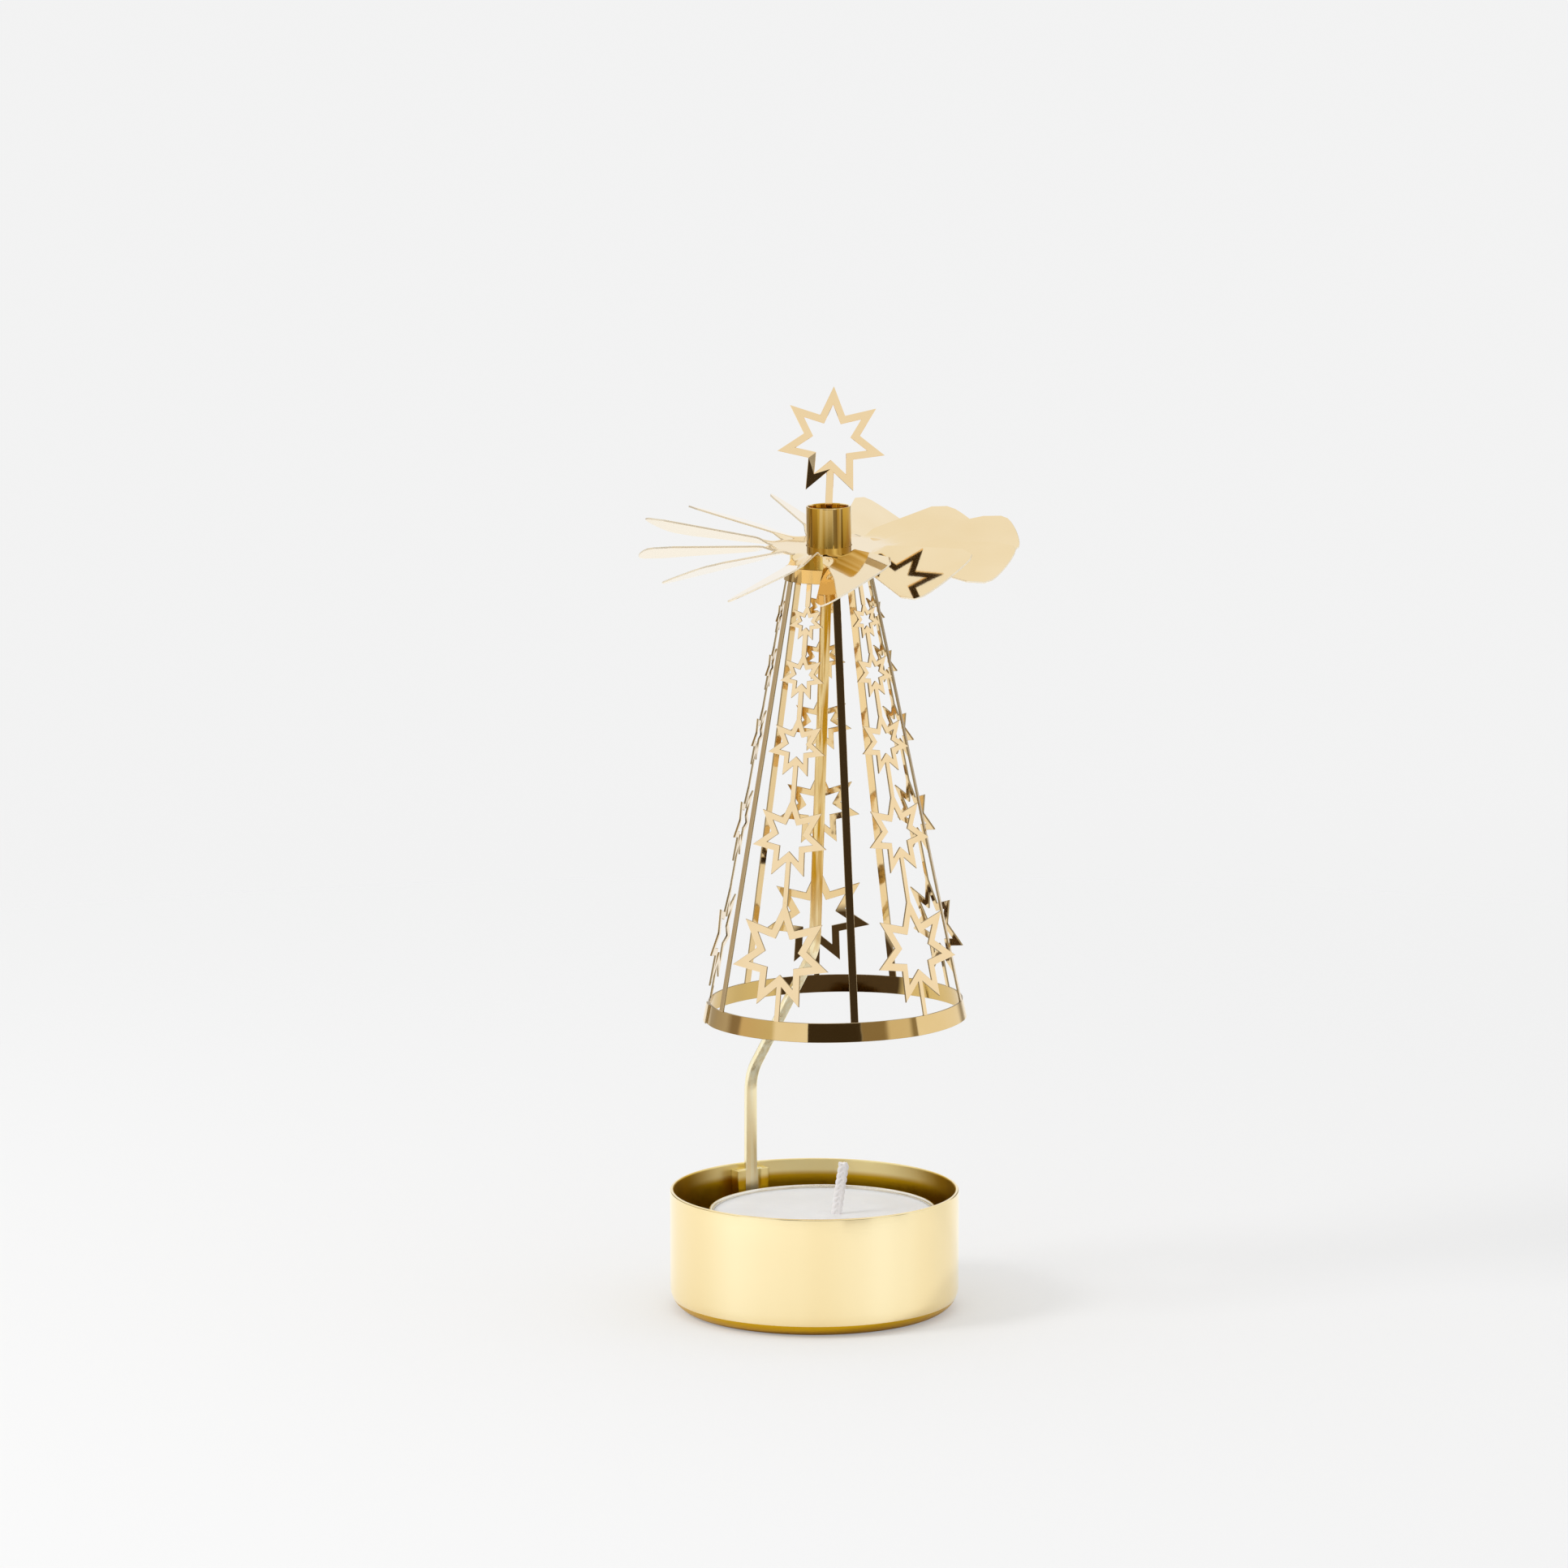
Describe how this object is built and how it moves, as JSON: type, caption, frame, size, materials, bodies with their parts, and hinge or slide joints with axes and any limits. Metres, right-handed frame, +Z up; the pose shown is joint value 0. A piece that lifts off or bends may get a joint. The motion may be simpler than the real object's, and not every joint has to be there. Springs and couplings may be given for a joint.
{
  "type": "rotary candle carousel",
  "caption": "Rotary tealight holder: a metal cup with a bent arm on whose point a cone-shaped star skirt, a vaned fan and a star finial hang and turn.",
  "frame": {"origin": "centre of the cup's underside", "axes": "+Z up along the object's height; +X to the right and +Y away, as the object is seen from the front"},
  "size_m": [0.0638, 0.0635, 0.1572],
  "materials": {
    "cup_brass": "polished, pale gold",
    "arm_brass": "polished, deeper gold",
    "sheet_brass": "thin polished sheet",
    "fan_brass": "thin polished sheet, paler",
    "hub_brass": "bright turned metal",
    "tealight_foil": "thin pressed foil",
    "wax": "smooth, slightly waxy white",
    "wick": "braided cotton, white"
  },
  "bodies": {
    "root": {"candle_cup": "cup_brass", "arm_socket": "cup_brass", "support_arm": "arm_brass"},
    "tealight": {"tealight_case": "tealight_foil", "tealight_wax": "wax", "tealight_wick": "wick", "wick_sustainer": "tealight_foil"},
    "rotor": {"hub_cap": "hub_brass", "bearing_cup": "hub_brass", "skirt_collar": "hub_brass", "fan_wheel": "fan_brass", "skirt_top_band": "sheet_brass", "skirt_hem_ring": "sheet_brass", "finial_star": "sheet_brass", "skirt_bar_1": "sheet_brass", "skirt_bar_2": "sheet_brass", "skirt_bar_3": "sheet_brass", "skirt_bar_4": "sheet_brass", "skirt_bar_5": "sheet_brass", "star_string_1": "sheet_brass", "star_string_2": "sheet_brass", "star_string_3": "sheet_brass", "star_string_4": "sheet_brass", "star_string_5": "sheet_brass"}
  },
  "joints": [
    {"name": "rotor_spin", "type": "hinge", "parent": "root", "child": "rotor", "pos_m": [0.0023, 0, 0.13515], "axis": [-0.0148, 0, 0.9999], "continuous": true},
    {"name": "tealight_lift", "type": "slide", "parent": "root", "child": "tealight", "axis": [0, 0, 1], "range_m": [0, 0.02]}
  ]
}
